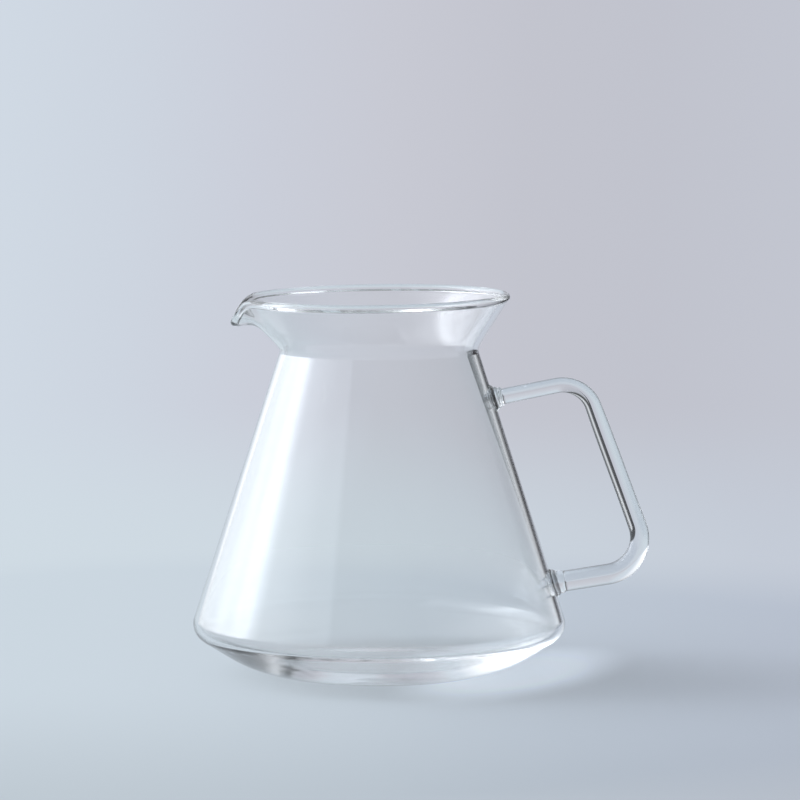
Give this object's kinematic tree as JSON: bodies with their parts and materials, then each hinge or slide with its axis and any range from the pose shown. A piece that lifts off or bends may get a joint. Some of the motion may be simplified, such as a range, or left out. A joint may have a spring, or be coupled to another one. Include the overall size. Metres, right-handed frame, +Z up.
{
  "type": "coffee server carafe",
  "caption": "Clear glass coffee server with a conical body, rounded foot, waisted neck, flared mouth with a pulled spout and a bent glass rod handle.",
  "frame": {"origin": "centre of the flat underneath, on the vessel's axis", "axes": "+Z up along the vessel's axis, +X towards the handle, -X towards the spout, +Y to the far side in the picture"},
  "size_m": [0.1441, 0.1176, 0.1207],
  "materials": {
    "vessel_glass": "clear blown glass, fire-polished, with faint waves",
    "rod_glass": "clear solid glass rod, drawn smooth",
    "weld_glass": "clear flame-worked glass with shallow turns"
  },
  "bodies": {
    "root": {"vessel": "vessel_glass", "handle_rod": "rod_glass", "upper_weld": "weld_glass", "lower_weld": "weld_glass"}
  },
  "joints": []
}
